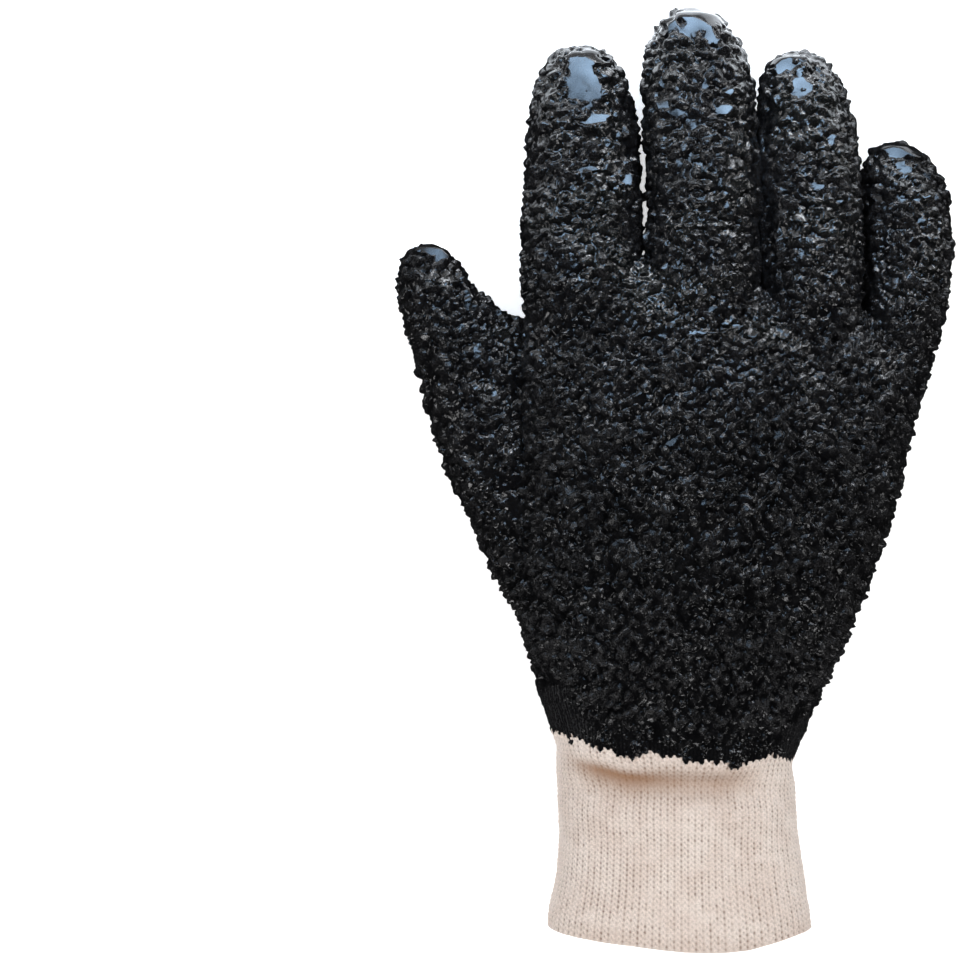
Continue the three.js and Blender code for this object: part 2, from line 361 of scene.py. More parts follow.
# %% Finding the points near a chip, and bending its outline
skin_tree = KDTree(len(skin))
for i, point in enumerate(skin):
    skin_tree.insert(point, i)
skin_tree.balance()
warp = np.stack([noise(skin, 1.6, shift) for shift in (1.7, 12.9, 23.3)], axis=1) - 0.5
print("chips' outlines are bent by up to", abs(warp).max().round(2), "mm")

# %% Lifting the skin under the chips
def chips_on_skin(kind):
    """How far the chips of one kind lift each point of the skin, and a random tone for each."""
    centres = spaced_points(allowed, edges, kind["rings"])
    centres = centres[rng.random(len(centres)) < kind["share"]]
    count = len(centres)
    radius, stretch = rng.uniform(*kind["radius"], count), rng.uniform(1.0, 1.3, count)
    # Small at the wrist, full-sized on the back and a fifth larger at the fingertips
    radius *= (0.55 + 0.3 * eased(above[centres], 0, 11) + 0.15 * eased(above[centres], 25, 75)
               + 0.2 * eased(skin[centres, 1], 60, 110))
    height = rng.uniform(*kind["height"], count) * (0.4 + 0.6 * eased(above[centres], 0, 16))
    side = unit(np.cross(normals[centres], rng.normal(size=(count, 3))))
    up = np.cross(normals[centres], side)
    turn = rng.uniform(0, 2 * math.pi, (count, CHIP_CUTS))
    slope = rng.uniform(0.2, 0.8, (count, CHIP_CUTS))
    level = rng.uniform(0.7, 1.0, (count, CHIP_CUTS))

    reach = radius * stretch * 1.25      # the bent outline may lie this much further out
    near = [[found[1] for found in skin_tree.find_range(skin[c], r)] for c, r in zip(centres, reach)]
    chip = np.repeat(np.arange(count), [len(found) for found in near])
    point = np.concatenate([np.array(found) for found in near])
    same_side = (normals[point] * normals[centres][chip]).sum(axis=1) > 0.3
    chip, point = chip[same_side], point[same_side]

    offset = skin[point] + warp[point] - skin[centres][chip]
    u = (offset * side[chip]).sum(axis=1) / (radius * stretch)[chip]
    v = (offset * up[chip]).sum(axis=1) / radius[chip]
    rim = (abs(u) ** CHIP_SQUARENESS + abs(v) ** CHIP_SQUARENESS) ** (1 / CHIP_SQUARENESS)
    lift = np.clip(1 - rim ** 2.4, 0, 1) ** 0.55         # a flattish top and steep sides
    for k in range(CHIP_CUTS):
        cut = np.cos(turn[chip, k]) * u + np.sin(turn[chip, k]) * v
        lift = np.minimum(lift, level[chip, k] - slope[chip, k] * cut)
    lift *= height[chip]

    raised, shade = np.zeros(len(skin)), np.full(len(skin), 0.5)
    np.maximum.at(raised, point, lift)
    order = np.argsort(lift)
    shade[point[order]] = rng.random(count)[chip[order]]
    print(count, "chips on", int((raised > 0).sum()), "points", seconds())
    return raised, shade


(large, tone), (small, _) = (chips_on_skin(kind) for kind in CHIP_KINDS)
crumb = np.maximum(large, small) + 0.3 * np.minimum(large, small)      # a crumb on a chip adds to it

# %% [markdown]
# ## Film, pools and lumps
# The second dip leaves a film over everything. It runs together into smooth pools on the
# fingertips, where it dripped off as the glove hung from its former, and into smaller runs and
# drops on the back. The pools and runs lie where the photograph shows them, and the drops are
# strewn. Each could be a patch of its own, but a real pool has no edge, so the film is a second
# height over the cloth, and the skin follows whichever is higher, chips or film. The cloth beneath
# is not even either, so the whole skin rolls gently.

# %% Where the film pooled
POOL_DEPTH = 0.6               # of film over the highest cloth under a pool
POOLS = [                      # x, y, half width and half length, all in millimetres
    (-26.6, 115.0, 5.0, 8.8), (6.0, 130.5, 6.5, 5.6), (32.5, 119.5, 6.0, 4.2), (66.6, 93.4, 6.0, 3.6),
    (-69.6, 64.8, 3.8, 3.6), (36.6, 112.2, 3.0, 4.0), (66.7, 88.0, 2.2, 3.0), (-23.1, 102.2, 4.2, 1.4),
    (12.8, 105.0, 2.6, 2.0),
]
RUNS = [                       # smaller ones, out of which the tallest chips stick
    (5.2, 113.8, 1.6, 0.9), (8.3, 111.4, 2.0, 0.9), (14.5, 109.6, 4.2, 1.1), (-3.3, 106.6, 2.2, 1.4),
    (0.6, 104.0, 2.4, 1.1), (-25.3, 95.3, 3.6, 0.9), (-26.4, 87.4, 4.0, 1.0), (-15.1, 84.3, 1.3, 3.0),
    (-29.0, 55.6, 1.8, 1.2), (-3.0, 58.0, 0.5, 2.4), (-5.5, 54.0, 2.4, 0.5), (40.5, 82.0, 2.5, 1.2),
    (70.0, 79.0, 2.2, 1.0), (-61.5, 50.0, 1.0, 3.0), (-57.5, 36.0, 1.0, 2.4), (5.6, 39.6, 7.0, 0.7),
]
SPATTER = [                    # x, y, half width and half length of a region, and its number of drops
    (-60.0, 46.0, 4.0, 12.0, 30), (2.0, 47.0, 14.0, 8.0, 40), (-26.0, 78.0, 8.0, 18.0, 24),
    (8.0, 85.0, 8.0, 20.0, 20), (38.0, 88.0, 8.0, 12.0, 20), (65.0, 72.0, 6.0, 12.0, 16),
]


def spattered():
    """Small drops of film, strewn over the regions where it ran thick."""
    strewn = np.random.default_rng(3)
    for x, y, half_width, half_length, count in SPATTER:
        for _ in range(count):
            across, along = strewn.uniform(-1, 1, 2)
            yield (x + across * half_width, y + along * half_length,
                   strewn.uniform(0.5, 1.6), strewn.uniform(0.4, 0.9))


print(len(POOLS), "pools,", len(RUNS), "runs and", sum(count for *_, count in SPATTER), "drops")

# %% The film's height over the cloth
def smooth_max(a, b, width):
    """The larger of the two, with a fillet of about the given width where they meet."""
    near = np.clip(1 - abs(a - b) / width, 0, 1)
    return np.maximum(a, b) + near ** 2 * width / 4


run = np.maximum(eased(skin[:, 1], 0, 65), skin[:, 0] < THUMB_SEAM)    # where the film ran thicker
# Here and there the film ran together without a pool.
flood = eased(noise(skin, 4.5, 31.7) + 0.35 * (noise(skin, 1.5, 3.3) - 0.5), 0.62, 0.82)
flood *= eased(above, 10, 30) * (0.35 + 0.65 * run)
film = 0.25 * noise(skin, 1.8, 9.4) + 0.9 * flood
calm = np.zeros(len(skin))     # 1 where the chips are drowned, and 0 where they stand free
for drowned, places in ((1.0, POOLS), (0.6, RUNS), (0.5, spattered())):
    for x, y, half_width, half_length in places:
        gone = np.hypot((skin[:, 0] - x) / half_width, (skin[:, 1] - y) / half_length)
        near = np.flatnonzero((gone < 2) & (normals[:, 2] > 0.05))
        gone = gone[near]
        if not (gone < 0.9).any():
            continue           # this drop fell between two fingers
        middle = skin[near[np.argmin(gone)]]
        # A pool is flat and lies tilted as its reflection in the photograph says.
        tilt = unit(unit(TIP_LIGHT / MM - middle) + unit(EYE / MM - middle))
        height = skin[near] @ tilt
        level = (height[gone < 0.9].max() + POOL_DEPTH - height) / np.maximum(normals[near] @ tilt, 0.35)
        level += 0.16 * (noise(skin[near], 3.5, y) - 0.5)      # the film is not quite level
        # The shore is ragged. The film thins down the finger's sides and ends past the shore.
        gone += 1.3 * (noise(skin[near], 2.4, x) - 0.5) + 0.8 * (noise(skin[near], 1.0, y) - 0.5)
        level = np.minimum(level, 1.2 + 2.4 * normals[near, 2]) - 3.5 * eased(gone, 0.95, 1.4)
        film[near] = smooth_max(film[near], level, 0.4)
        calm[near] = np.maximum(calm[near], drowned * (1 - eased(gone, 0.7, 1.1)))
print("film up to", film.max().round(1), "mm high", seconds())

# %% Chips, film and lumps together
lumps = 0.7 * (noise(skin, np.array([9.0, 4.5, 8.0]), 7.7) - 0.5) + 1.0 * (noise(skin, 14.0, 2.2) - 0.5)
grit = 0.12 * (noise(skin, 0.9, 15.2) - 0.5)
BASE = -0.3                    # the film between chips, from the cloth's face
SINK = 1.05                    # the skin dives this far under the coated ribs where chips end
FILLET = 0.35                  # how softly film and chips meet
chips = crumb * (1 - calm) + grit
relief = smooth_max(chips, film, FILLET)
pool = eased(film - chips, -0.25, 0.15) * eased(film, 0.5, 0.8)
gloss = np.maximum(pool, 0.6 * run + 0.3 * (noise(skin, 6.0, 21.0) - 0.5))
random_tone_and_painted_shade = 0.3 * tone + 0.5 * eased(crumb, 0.2, 1.8)   # a random tone for each chip, and painted shade: lighter where chips stand out, darker between them
random_tone_and_painted_shade *= 1.55 - 0.55 * eased(above, 10, 60)         # and lighter towards the wrist
relief += BASE + lumps * eased(above, 0, 14) * (1 - calm)
relief -= SINK * (1 - eased(above + STRAY * (end_noise - 0.5), -1, 7))
print("pooled on", round(pool.mean() * 100, 1), "% of the points", seconds())

# %% [markdown]
# ## Fingers side by side
# The stalls lie so close that their chips nearly touch, with a dark slit between them, and here and
# there they do touch. Left alone, the chips of one would run into the next and two fingers would
# look like one. So a ray from each point finds how far the neighbour's cloth is, and no chip grows
# past the middle of that gap. Where the two touch, the skin is raised to meet it.

# %% How far away the neighbouring finger is
BESIDE_GAP = 9.0               # a gap is at most so wide, and its walls lie so near to its x
near_fingers = skin @ SEAM_ACROSS > FINGER_SEAM - 6
facing = np.flatnonzero(near_fingers & (abs(normals[:, 0]) > 0.45))
used, walls = np.unique(quads[near_fingers[quads].all(axis=1)], return_inverse=True)
wall = BVHTree.FromPolygons(skin[used].tolist(), walls.reshape(-1, 4).tolist())
gap = np.full(len(skin), 99.0)
for i in facing:
    # A ray from just off the skin, along its normal, up to the neighbour's cloth
    hit = wall.ray_cast(Vector(skin[i] + 0.1 * normals[i]), Vector(normals[i]), BESIDE_GAP)
    if hit[0] is not None:
        gap[i] = hit[3]
print(int((gap < BESIDE_GAP).sum()), "points face a neighbour", seconds())

# %% Keeping neighbouring fingers apart
SLIT = (-0.2, 1.4)             # each finger keeps this far from the middle of the gap beside it
CONTACTS = [(-10.0, 80.7, 1.2), (-10.0, 67.2, 3.0), (26.0, 78.0, 34.0)]   # x, y, half length
PARTED = (-10.0, 77.0, 16.0, 0.7)          # x, y and half length of a wider slit, and how much wider
slit = np.interp(noise(skin, 1.9, 41.0), (0.3, 0.75), SLIT)
in_parted = (abs(skin[:, 0] - PARTED[0]) < BESIDE_GAP) & (abs(skin[:, 1] - PARTED[1]) < PARTED[2])
slit += PARTED[3] * in_parted
sway = (noise(skin * np.array([0.0, 1.0, 1.0]), 4.5, 12.2) - 0.5) * np.sign(normals[:, 0])
share = gap * (0.5 + 0.7 * sway)           # where in the gap the two neighbours meet
relief = np.minimum(relief, np.maximum(share - slit, -0.2))
sideways = (1 - eased(gap, 5, 7)) * (1 - eased(abs(normals[:, 2]), 0.25, 0.5))
for x, y, half_length in CONTACTS:
    beside = (abs(skin[:, 0] - x) < BESIDE_GAP) * sideways
    held = beside * np.exp(-((skin[:, 1] - y) / half_length) ** 4)
    relief = np.where(held > 0, np.maximum(relief, held * np.minimum(share + 0.1, 3.2)), relief)
print(round(in_parted.mean() * 100, 1), "% of the points lie beside the wider slit")

# %% The coated surface
coat = skin + normals * relief[:, None]
coat += 0.22 * (neighbour_mean(coat, edges) - coat)      # the film rounds every edge a little
coat[:, 2] = np.maximum(coat[:, 2], 0.03 * tone)         # and the glove lies flat on its palm
print("relief", relief.min().round(2), "to", relief.max().round(2), seconds())

# %% [markdown]
# ## Pieces of coated skin
# The skin is one, but it is kept as pieces: a stall for each finger and the thumb, as in the CAD
# model, and the hand's back and palm. They share the points along their borders, so no seam shows.

# %% Sorting the faces into pieces
HAND_MIDDLE_Z = 22.0           # the back is above and the palm below
CHIPS_GO_TO = -1.5             # the skin is cut off this far below the chips' end, under the ribs
PIECES = ["coated_back", "coated_palm", "coated_thumb"] + [f"coated_{f}" for f in FINGERS]
middles = coat[quads].mean(axis=1)
beyond = skin[quads].mean(axis=1) @ SEAM_ACROSS > FINGER_SEAM
piece_of = np.where(middles[:, 2] > HAND_MIDDLE_Z, 0, 1)     # places in PIECES, and -1 for none
piece_of[(middles[:, 0] < THUMB_SEAM) & ~beyond] = 2
finger_label = islands(quads[beyond], len(skin))
for i in np.unique(finger_label):
    x = middles[beyond][finger_label == i, 0].mean()
    gaps = [abs(cad[f"{f}_stall"][0][:, 0].mean() - x) for f in FINGERS]
    piece_of[np.flatnonzero(beyond)[finger_label == i]] = 3 + int(np.argmin(gaps))
on_cap = (normals[quads].mean(axis=1)[:, 1] < -0.5) & (skin[quads].mean(axis=1)[:, 1] < MOUTH_Y)
piece_of[on_cap | (above[quads].mean(axis=1) < CHIPS_GO_TO)] = -1
print("islands beyond the fingers' seam:", len(np.unique(finger_label)))

# %% Meshes from arrays
def mesh_from(name, points, faces, floats=None, sorting=None, shading=None):
    """A smooth-shaded mesh from points in millimetres and faces with equally many corners."""
    used, place = np.unique(faces, return_inverse=True)
    mesh = bpy.data.meshes.new(name)
    mesh.vertices.add(len(used))
    mesh.vertices.foreach_set("co", (points[used] * MM).ravel())
    mesh.loops.add(faces.size)
    mesh.loops.foreach_set("vertex_index", place.ravel())
    mesh.polygons.add(len(faces))
    mesh.polygons.foreach_set("loop_start", np.arange(0, faces.size, faces.shape[1]))
    mesh.update(calc_edges=True)
    mesh.shade_smooth()
    for key, values in (floats or {}).items():
        mesh.attributes.new(key, "FLOAT", "POINT").data.foreach_set("value", values[used])
    if sorting is not None:
        mesh.attributes.new("piece", "INT", "FACE").data.foreach_set("value", sorting)
    if shading is not None:
        mesh.normals_split_custom_set_from_vertices(shading[used].tolist())
    return mesh


# %% [markdown]
# ## Thinning the net
# A glossy rim needs a fine net only where a chip bends it. The Decimate modifier merges the edges
# that change the shape least, so flat tops and pools end up with few large triangles. It runs on
# the whole skin at once, so the pieces still share their borders.

# %% Thinning the net, and taking it apart
NET_KEPT = 0.64                # share of the triangles that stays
whole = mesh_from("whole_skin", coat, quads[piece_of >= 0], {"gloss": gloss, "tone_and_painted_shade": random_tone_and_painted_shade},
                  piece_of[piece_of >= 0])
holder = linked("whole_skin", whole)
thin = holder.modifiers.new("thin", "DECIMATE")
thin.ratio, thin.use_collapse_triangulate = NET_KEPT, True
net = with_modifiers(holder)
coat = read(net.vertices, "co", 3).reshape(-1, 3) / MM
coat_faces = read(net.loops, "vertex_index", 1, np.int32).reshape(-1, 3)
coat_normals = point_normals(coat, coat_faces)       # flat pools stay flat up to their shores
coat_floats = {key: read(net.attributes[key].data, "value") for key in ("gloss", "tone_and_painted_shade")}
coat_piece = read(net.attributes["piece"].data, "value", 1, np.int32)
bpy.data.objects.remove(holder)
for spent in (whole, net):
    bpy.data.meshes.remove(spent)
print(len(coat_faces), "triangles kept", seconds())

# %% [markdown]
# ## Adding a piece
# Each piece rides on the glove's one body, stands for the CAD nodes that it hides, and takes the
# material that it is given. One function does it for them all.

# %% Adding a piece
def add_piece(mesh, material, slot, *nodes):
    """A mesh as a piece that rides on the glove's one body."""
    mesh.validate()
    mesh.materials.append(material)
    made = linked(mesh.name, mesh)
    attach(made, "root")
    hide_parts(*nodes)
    print(mesh.name, sum(len(face.vertices) - 2 for face in mesh.polygons), "triangles")
    return made


# %% [markdown]
# ## Materials
# A colour is written as the sRGB hex value that one would read off a screen, and turned to the
# linear numbers that the renderer needs. One function adds a node with its settings and links.

# %% Colour and node helpers
def linear(hex_colour):
    """An sRGB hex colour as linear RGBA."""
    parts = [int(hex_colour[i:i + 2], 16) / 255 for i in (1, 3, 5)]
    return (*(c / 12.92 if c <= 0.04045 else ((c + 0.055) / 1.055) ** 2.4 for c in parts), 1.0)


def add_node(tree, kind, inputs=None, **settings):
    """A node with its settings, whose inputs are values or other nodes' sockets."""
    node = tree.nodes.new(kind)
    for key, value in settings.items():
        setattr(node, key, value)
    for key, value in (inputs or {}).items():
        if isinstance(value, bpy.types.NodeSocket):
            tree.links.new(value, node.inputs[key])
        else:
            node.inputs[key].default_value = value
    return node


def new_material(name):
    material = bpy.data.materials.new(name)
    material.use_nodes = True
    tree = material.node_tree
    tree.nodes.clear()
    return material, tree


# %% [markdown]
# ## Black PVC
# The coating is plasticised PVC, dipped and baked: black all through, glossy where the film ran and
# greyer where crumbs stand out of it. One glossy black would do for the film. The chips need more,
# a grey bloom of mottled dust and a gloss that differs from patch to patch, so the mesh carries two
# numbers that the nodes read: gloss, and how grey a point is, from a random tone for each chip and
# painted shade that is lighter where a crumb stands out and darker in the gaps between.

# %% Plasticised PVC, dipped and baked
def dipped_pvc():
    """Black plasticised PVC: IOR 1.54, glossy where the film ran, duller on the bare crumbs."""
    material, tree = new_material("dipped_pvc")
    place = add_node(tree, "ShaderNodeTexCoord").outputs["Object"]
    gloss = add_node(tree, "ShaderNodeAttribute", attribute_name="gloss").outputs["Fac"]
    chip = add_node(tree, "ShaderNodeAttribute", attribute_name="tone_and_painted_shade").outputs["Fac"]
    orange_peel = add_node(tree, "ShaderNodeTexNoise", {"Vector": place, "Scale": 1 / (0.9 * MM),
                                                        "Detail": 3.0, "Roughness": 0.6})
    # Dust is finer than 0.4 mm, and is drawn that coarse so that it shows.
    grain = add_node(tree, "ShaderNodeTexNoise", {"Vector": place, "Scale": 1 / (0.4 * MM),
                                                  "Detail": 2.0, "Roughness": 0.5})
    dust = add_node(tree, "ShaderNodeMapRange", {"Value": grain.outputs["Fac"], "From Min": 0.35,
                                                 "From Max": 0.65, "To Min": 0.2, "To Max": 1.6})
    # Painted shade: greyer where a crumb stands out, darkest in the gaps, and mottled by the dust's grain.
    mottled_tone_and_shade = add_node(tree, "ShaderNodeMath", {0: chip, 1: dust.outputs["Result"]}, operation="MULTIPLY")
    colour = add_node(tree, "ShaderNodeValToRGB", {"Fac": mottled_tone_and_shade.outputs["Value"]})
    ramp = colour.color_ramp
    ramp.elements[0].color, ramp.elements[1].color = linear("#040405"), linear("#262627")
    ramp.elements.new(0.5).color = linear("#0f0f10")
    dull = add_node(tree, "ShaderNodeMapRange", {"Value": chip, "To Min": 0.16, "To Max": 0.25})
    rugged = add_node(tree, "ShaderNodeMapRange", {"Value": gloss, "From Min": 0.6, "From Max": 1.0,
                                                   "To Min": 1.0, "To Max": 0.2})
    rough = add_node(tree, "ShaderNodeMix", {"Factor": gloss, "A": dull.outputs["Result"], "B": 0.15})
    chalky = add_node(tree, "ShaderNodeMapRange", {"Value": gloss, "From Max": 0.6,
                                                   "To Min": 0.33, "To Max": 0.5})
    # Bare crumbs mirror less than film, and some patches of 11 mm less than others.
    patch = add_node(tree, "ShaderNodeTexNoise", {"Vector": place, "Scale": 1 / (11 * MM), "Detail": 1.0})
    patchy = add_node(tree, "ShaderNodeMapRange", {"Value": patch.outputs["Fac"], "From Min": 0.35,
                                                   "From Max": 0.6, "To Min": 0.6, "To Max": 1.3})
    mirrored = add_node(tree, "ShaderNodeMath", {0: chalky.outputs["Result"],
                                                 1: patchy.outputs["Result"]}, operation="MULTIPLY")
    coarse = add_node(tree, "ShaderNodeBump", {"Height": orange_peel.outputs["Fac"],
                                               "Strength": rugged.outputs["Result"],
                                               "Distance": 0.032 * MM})
    fine = add_node(tree, "ShaderNodeBump", {"Height": grain.outputs["Fac"], "Distance": 0.06 * MM,
                                             "Strength": rugged.outputs["Result"],
                                             "Normal": coarse.outputs["Normal"]})
    shader = add_node(tree, "ShaderNodeBsdfPrincipled", {
        "Base Color": colour.outputs["Color"], "Roughness": rough.outputs["Result"], "IOR": 1.54,
        "Specular IOR Level": mirrored.outputs["Value"], "Normal": fine.outputs["Normal"]})
    add_node(tree, "ShaderNodeOutputMaterial", {"Surface": shader.outputs["BSDF"]})
    return material


# %% [markdown]
# ## Undyed cotton
# The cuff is knitted from undyed cotton yarn, matt and warm off-white, a little uneven in colour.
# Shadows in the pinholes between its loops and in the fold look brown, because the light there has
# gone from yarn to yarn. An all-over pattern of stitches could be drawn in colour, but the mesh has
# real stitches, so the nodes add only the yarn's flecks, and read from the mesh where to paint: brown
# painted shade in the pinholes, the fold and along the hem, and a painted highlight on the Vs' legs.

# %% Cotton, knitted
def cotton_knit(name, yarn):
    """Undyed cotton yarn of the given thickness in mm: no gloss, a soft sheen from loose fibres."""
    material, tree = new_material(name)
    place = add_node(tree, "ShaderNodeTexCoord").outputs["Object"]
    pinhole_shade = add_node(tree, "ShaderNodeAttribute", attribute_name="pinhole").outputs["Fac"]
    fold = add_node(tree, "ShaderNodeAttribute", attribute_name="fold").outputs["Fac"]
    # Single fibres are too fine to show, so the flecks are drawn as wide as the yarn.
    fibre = add_node(tree, "ShaderNodeTexNoise", {"Vector": place, "Scale": 1 / (yarn * MM),
                                                  "Detail": 3.0, "Roughness": 0.65})
    patch = add_node(tree, "ShaderNodeTexNoise", {"Vector": place, "Scale": 1 / (9 * MM), "Detail": 2.0})
    colour = add_node(tree, "ShaderNodeValToRGB", {"Fac": patch.outputs["Fac"]})
    colour.color_ramp.elements[0].color = linear("#dccdc3")
    colour.color_ramp.elements[1].color = linear("#e4d8cf")
    colour.color_ramp.elements[0].position, colour.color_ramp.elements[1].position = 0.35, 0.65
    specks = add_node(tree, "ShaderNodeMapRange", {"Value": fibre.outputs["Fac"], "From Min": 0.3,
                                                   "From Max": 0.7, "To Min": 0.68, "To Max": 1.25})
    # Painted highlight: the Vs' legs are drawn lighter and the gaps between them darker.
    leg = add_node(tree, "ShaderNodeAttribute", attribute_name="leg").outputs["Fac"]
    specks_and_leg_highlight = add_node(tree, "ShaderNodeMath", {0: leg, 1: 0.09, 2: specks.outputs["Result"]},
                     operation="MULTIPLY_ADD")
    flecked = add_node(tree, "ShaderNodeVectorMath", {0: colour.outputs["Color"],
                                                      "Scale": specks_and_leg_highlight.outputs["Value"]}, operation="SCALE")
    # Painted shade: the pinholes and the valleys between wales are drawn brown.
    holes = add_node(tree, "ShaderNodeMix", {"Factor": pinhole_shade, "A": flecked.outputs["Vector"],
                                             "B": linear("#6a5342")}, data_type="RGBA")
    # Painted shade: brown in the fold and along the hem.
    shaded = add_node(tree, "ShaderNodeMath", {0: fold, 1: 0.74}, operation="MULTIPLY")
    folded = add_node(tree, "ShaderNodeMix", {"Factor": shaded.outputs["Value"],
                                              "A": holes.outputs["Result"],
                                              "B": linear("#8e6644")}, data_type="RGBA")
    fuzz = add_node(tree, "ShaderNodeBump", {"Height": fibre.outputs["Fac"], "Strength": 0.6,
                                             "Distance": 0.12 * MM})
    shader = add_node(tree, "ShaderNodeBsdfPrincipled", {
        "Base Color": folded.outputs["Result"], "Roughness": 0.92, "Sheen Weight": 0.25,
        "Sheen Roughness": 0.5, "Specular IOR Level": 0.2, "Normal": fuzz.outputs["Normal"]})
    add_node(tree, "ShaderNodeOutputMaterial", {"Surface": shader.outputs["BSDF"]})
    return material


# %% The seven coated pieces
PVC = dipped_pvc()
for i, name in enumerate(PIECES):
    part = name.removeprefix("coated_")
    node = "coated_hand" if part in ("back", "palm") else part + "_stall"
    mesh = mesh_from(name, coat, coat_faces[coat_piece == i], coat_floats, shading=coat_normals)
    add_piece(mesh, PVC, "chip_coating", node)
print(PVC.name, "has", len(PVC.node_tree.nodes), "nodes", seconds())

# %% [markdown]
# ## The wrist's outline
# The cuff is one tube of rib knitting whose top end is dipped with the hand. It could be modelled
# by hand, but its form is already in the solids. Rays cast at them from all around the wrist's
# axis give its radius by angle and by distance from the hem. A fine net is then laid on that
# outline, with its columns along the wales, the upright ribs of the knitting.

# %% The wrist's radius by angle and distance from the hem
WRIST_AXIS = (1.14, 22.6)      # x and z
WRIST_HALF = (38.35, 23.2)     # half the width and height at the hem
HEM_Y = -131.51                # where the hem's rounding starts, at the two sides
SAG = [(-27, 0), (-13.6, 0.3), (0.9, 1.5), (12.6, 2.1), (20, 2.1), (27.1, 1.1), (35, 0)]  # x and drop
HANG = ([0.0, 4.2, 14.2, 25.2, 34.7, 40.7], [2.9, 2.2, 1.4, 0.8, 0.4, 0.0])    # climb and drop
SQUARENESS = 2.5               # of the wrist's outline: 2 is an ellipse, and more is squarer
TURNS = np.radians(np.arange(-90, 270, 2.0))
CLIMB = np.arange(0.3, 74, 1.5)            # distances from the hem, in mm
RAY_START = 90                 # mm from the axis, outside the glove


def hang(turn):
    """How far the hem hangs at this angle: 0 at the two sides and 1 midway between them."""
    across, upward = abs(np.cos(turn)) / WRIST_HALF[0], abs(np.sin(turn)) / WRIST_HALF[1]
    return 1 - (across / (across ** SQUARENESS + upward ** SQUARENESS) ** (1 / SQUARENESS)) ** 2


# %% Casting the rays
wrist_points, wrist_faces = [], []
for node in ("coated_hand", "knit_wrist"):
    wrist_faces += (cad[node][1] + len(wrist_points)).tolist()
    wrist_points += cad[node][0].tolist()
wrist_wall = BVHTree.FromPolygons(wrist_points, wrist_faces)
radius_at = np.zeros((len(CLIMB), len(TURNS)))
for (i, rise), (j, angle) in itertools.product(enumerate(CLIMB), enumerate(TURNS)):
    y = HEM_Y + rise - np.interp(rise, *HANG) * hang(angle)
    out = Vector((math.cos(angle), 0, math.sin(angle)))
    start = Vector((WRIST_AXIS[0], y, WRIST_AXIS[1])) + out * RAY_START
    radius_at[i, j] = RAY_START - wrist_wall.ray_cast(start, -out)[3]
for _ in range(3):
    for axis, edge in ((0, "edge"), (1, "wrap")):
        width = [(1, 1), (0, 0)] if axis == 0 else [(0, 0), (1, 1)]
        padded = np.pad(radius_at, width, edge)
        near = [np.take(padded, range(k, k + radius_at.shape[axis]), axis) for k in range(3)]
        radius_at = (near[0] + 2 * near[1] + near[2]) / 4
print("radius", radius_at.min().round(1), "to", radius_at.max().round(1), "mm")

# %% [markdown]
# ## A net with its columns along the wales
# Machine rib knitting of this fineness has a wale about every 2 mm and a course, one row of loops,
# every 1.43 mm. Each loop is a small V. Seven columns and four rows of the net for each loop are
# enough to bend the Vs, and the valleys between the wales have a pinhole at each course.

# %% The net on the wrist
WALES, WALE_COLUMNS = 96, 7
COURSE, COURSE_ROWS = 1.43, 4
TUBE_LENGTH = 71.5             # with the stretch that is dipped
columns = np.arange(WALES * WALE_COLUMNS)
climb = np.arange(0, TUBE_LENGTH, COURSE / COURSE_ROWS)
outline = np.stack([np.cos(TURNS), np.sin(TURNS)]) * radius_at[20]      # 30 mm from the hem
steps = np.hypot(*(np.roll(outline, -1, axis=1) - outline))
arc = np.concatenate([[0], np.cumsum(steps)])
turn = np.interp(columns / len(columns) * arc[-1], arc, np.append(TURNS, TURNS[0] + 2 * math.pi))
around = np.stack([np.interp(turn, TURNS, row, period=2 * math.pi) for row in radius_at])
around = np.stack([np.interp(climb, CLIMB, column) for column in around.T], axis=1)
hem_drop = np.interp(climb, *HANG)[:, None] * hang(turn)
sag = np.interp(WRIST_AXIS[0] + around[0] * np.cos(turn), *zip(*SAG)) * (0.5 + 0.5 * np.sin(turn))
hem_drop += sag * (1 - eased(climb, 0, 16))[:, None]
fuller = 1.3 * np.exp(-((climb - 47) / 6) ** 2)[:, None] * eased(-np.cos(turn), 0.6, 0.95)
tighter = 1.1 * np.exp(-((climb - 52) / 6) ** 2)[:, None] * eased(np.cos(turn), 0.6, 0.95)
around += fuller - tighter     # the cuff stands out on the thumb's side and is drawn in on the other
wrist = np.stack([WRIST_AXIS[0] + around * np.cos(turn),
                  HEM_Y + climb[:, None] - hem_drop,
                  WRIST_AXIS[1] + around * np.sin(turn)], axis=2)


# %% Which way the net faces, and where its wales and courses lie
def net_normals(net):
    """Outward normals of a net that closes on itself along its second axis."""
    return unit(np.cross(np.roll(net, -1, axis=1) - np.roll(net, 1, axis=1), np.gradient(net, axis=0)))


wrist_out = net_normals(wrist)
if (wrist_out[:, :, 2] * np.sin(turn)).sum() < 0:
    wrist_out = -wrist_out
wale = columns // WALE_COLUMNS
wale_phase = (columns % WALE_COLUMNS + 0.5) / WALE_COLUMNS - 0.5      # 0 on a wale's crest
course_phase = climb[:, None] / COURSE
flat = wrist.reshape(-1, 3)
net_shape = wrist.shape[:2]
print("net of", net_shape, "points, round the wrist", round(arc[-1], 1), "mm")

# %% [markdown]
# ## The dip line and the fold
# The glove was dipped up to a line that wanders round the wrist. PVC soaked a little further along
# each wale, so the line has teeth. Below it the soft knitting is pushed up into a roll. A fold lies
# under the roll, from the thumb's side to past the middle. Cloth simulation could crease the cuff,
# but hardly in the same place, so the fold follows a line that is measured on the photograph too.

